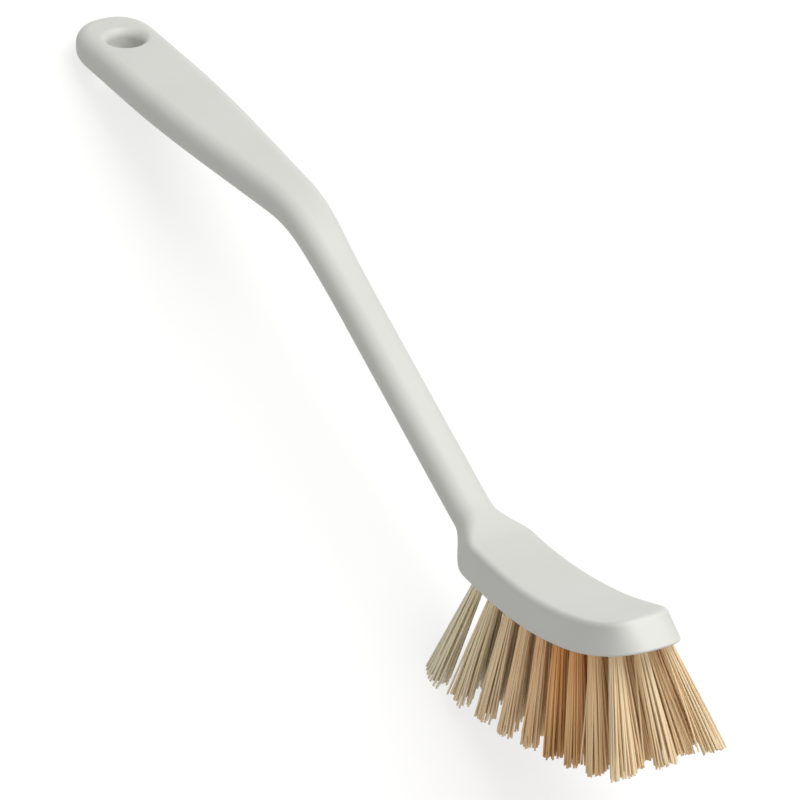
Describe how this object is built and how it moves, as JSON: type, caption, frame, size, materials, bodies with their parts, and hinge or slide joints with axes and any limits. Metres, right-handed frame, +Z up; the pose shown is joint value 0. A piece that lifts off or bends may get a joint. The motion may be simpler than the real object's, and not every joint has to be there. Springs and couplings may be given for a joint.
{
  "type": "scrub brush",
  "caption": "Long-handled scrub brush: bent one-piece plastic handle with a hanging hole, and a curved narrow head set with a fan of stiff filament tufts.",
  "frame": {"origin": "centre of the whole brush in plan, on the floor that it lies on", "axes": "+X along the brush from the handle's end to the head, +Z up, +Y to the left when looking along +X; the brush lies on the end of its handle and on the tips of its rear row of tufts, the one next to the handle"},
  "size_m": [0.2932, 0.0312, 0.0722],
  "materials": {
    "white_plastic": "satin moulded polypropylene",
    "tan_filament": "drawn polyester filament, slightly glossy"
  },
  "bodies": {
    "root": {"handle_block": "white_plastic", "tuft_01": "tan_filament", "tuft_02": "tan_filament", "tuft_03": "tan_filament", "tuft_04": "tan_filament", "tuft_05": "tan_filament", "tuft_06": "tan_filament", "tuft_07": "tan_filament", "tuft_08": "tan_filament", "tuft_09": "tan_filament", "tuft_10": "tan_filament", "tuft_11": "tan_filament", "tuft_12": "tan_filament", "tuft_13": "tan_filament", "tuft_14": "tan_filament", "tuft_15": "tan_filament", "tuft_16": "tan_filament", "tuft_17": "tan_filament", "tuft_18": "tan_filament", "tuft_19": "tan_filament", "tuft_20": "tan_filament", "tuft_21": "tan_filament", "tuft_22": "tan_filament", "tuft_23": "tan_filament", "tuft_24": "tan_filament", "tuft_25": "tan_filament", "tuft_26": "tan_filament", "tuft_27": "tan_filament", "tuft_28": "tan_filament", "tuft_29": "tan_filament", "tuft_30": "tan_filament", "tuft_31": "tan_filament", "tuft_32": "tan_filament", "tuft_33": "tan_filament", "tuft_34": "tan_filament", "tuft_35": "tan_filament", "tuft_36": "tan_filament", "tuft_37": "tan_filament", "tuft_38": "tan_filament", "tuft_39": "tan_filament", "tuft_40": "tan_filament", "tuft_41": "tan_filament", "tuft_42": "tan_filament", "tuft_43": "tan_filament"}
  },
  "joints": []
}
